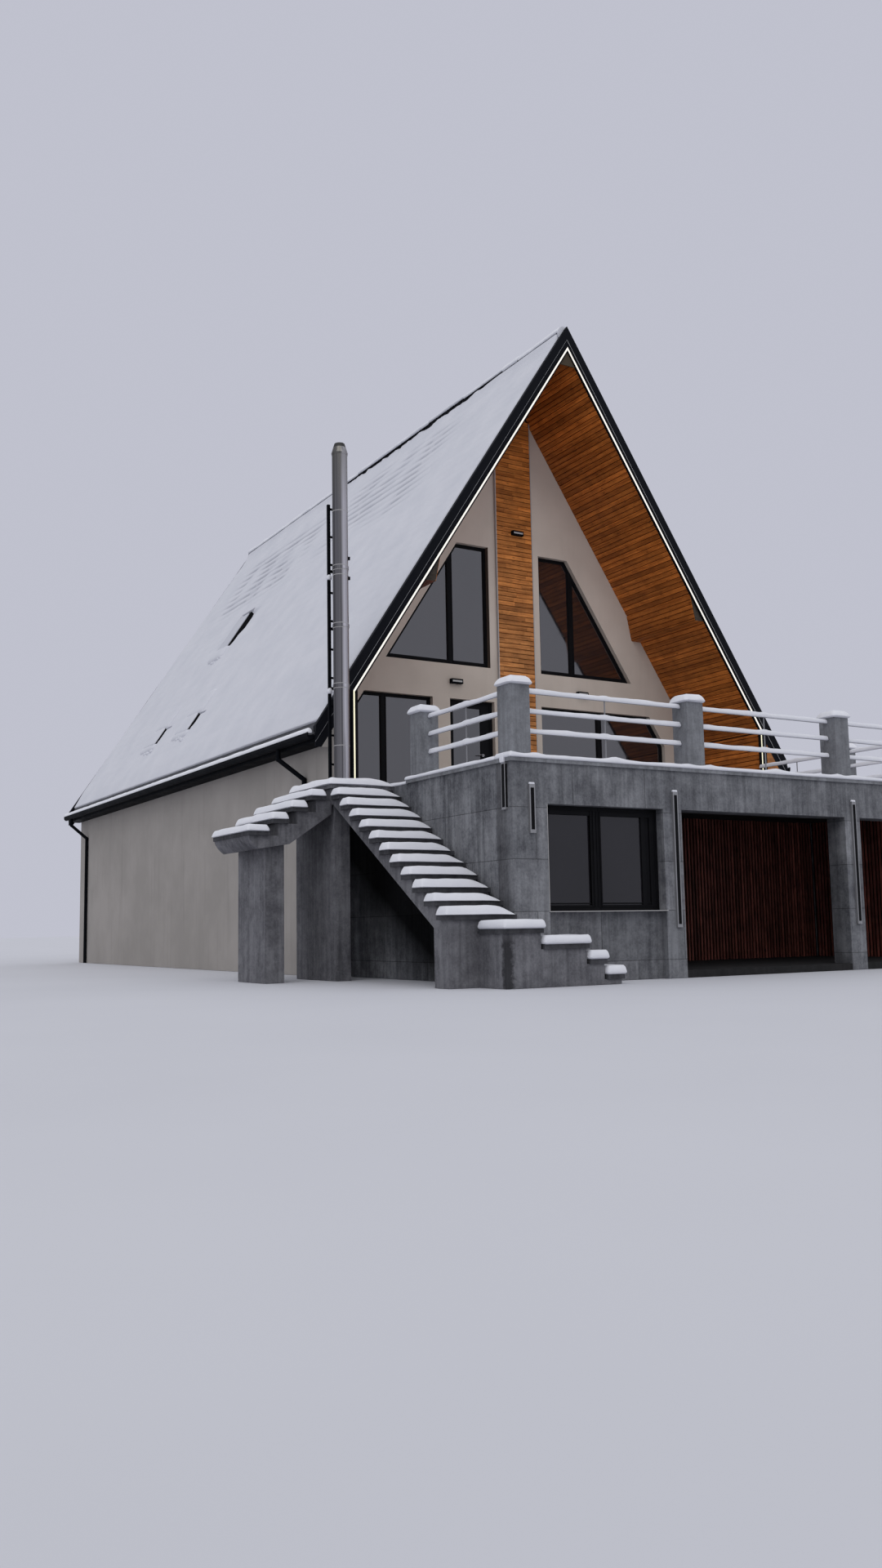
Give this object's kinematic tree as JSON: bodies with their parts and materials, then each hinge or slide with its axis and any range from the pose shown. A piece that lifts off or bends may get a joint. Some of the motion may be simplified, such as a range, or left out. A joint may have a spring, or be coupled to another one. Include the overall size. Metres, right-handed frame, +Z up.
{
  "type": "a-frame cabin",
  "caption": "Steep A-frame cabin with a glazed gable and lit deep porch, over a concrete terrace storey with open bays, piers, slim railing and an outside stair.",
  "frame": {"origin": "on the lowest ground, under the ridge line, at the terrace's front face", "axes": "+X right seen from the front, +Y from the terrace front to the back wall, +Z up"},
  "size_m": [12.538, 21.27, 12.1718],
  "materials": {
    "concrete": "rough",
    "white_render": "rough",
    "beige_render": "rough",
    "pine": "satin",
    "brown_wood": "satin",
    "roof_tile": "matte",
    "black_metal": "satin",
    "steel": "brushed",
    "lamp_metal": "satin",
    "light_strip": "glowing",
    "glass": "clear",
    "rail_paint": "satin",
    "snow": "matte"
  },
  "bodies": {
    "cabin": {"ground_slab": "concrete", "terrace_side_walls": "concrete", "terrace_piers": "concrete", "front_beam": "concrete", "terrace_slab": "concrete", "terrace_coping": "concrete", "window_bay_wall": "concrete", "room_side_wall": "concrete", "cross_wall": "concrete", "slat_wall": "brown_wood", "left_side_wall": "beige_render", "right_side_wall": "beige_render", "back_foundation_wall": "beige_render", "main_floor": "concrete", "loft_floor": "pine", "front_wall_left": "white_render", "front_wall_right": "white_render", "front_wall_upper": "white_render", "back_wall": "beige_render", "wood_strip": "pine", "roof_left": "roof_tile", "roof_right": "roof_tile", "ridge_cap": "roof_tile", "verges_left": "black_metal", "verges_right": "black_metal", "porch_soffits": "pine", "apex_collar": "brown_wood", "porch_purlins": "pine", "cheek_linings": "pine", "portal_posts": "black_metal", "led_profile": "light_strip", "portal_infills": "pine", "eave_boxes": "black_metal", "gutters": "black_metal", "downpipes": "black_metal", "roof_window_frames": "black_metal", "roof_window_glass": "glass", "window_frames": "black_metal", "window_glass": "glass", "door_frame": "black_metal", "wall_lights": "black_metal", "linear_lamps": "lamp_metal", "railing_piers": "concrete", "railing_panels": "rail_paint", "main_flight_waist": "concrete", "side_flight_waist": "concrete", "stair_treads": "concrete", "lower_steps": "concrete", "top_landing": "concrete", "stair_supports": "concrete", "flue_pipe": "steel", "flue_mast": "black_metal"},
    "door": {"door_leaf": "black_metal", "door_glass": "glass", "door_handle": "steel"}
  },
  "joints": [
    {"name": "door_hinge", "type": "hinge", "parent": "cabin", "child": "door", "pos_m": [-1.506, 6.881, 3], "axis": [0, 0, 1], "range_deg": [0, 90]}
  ]
}
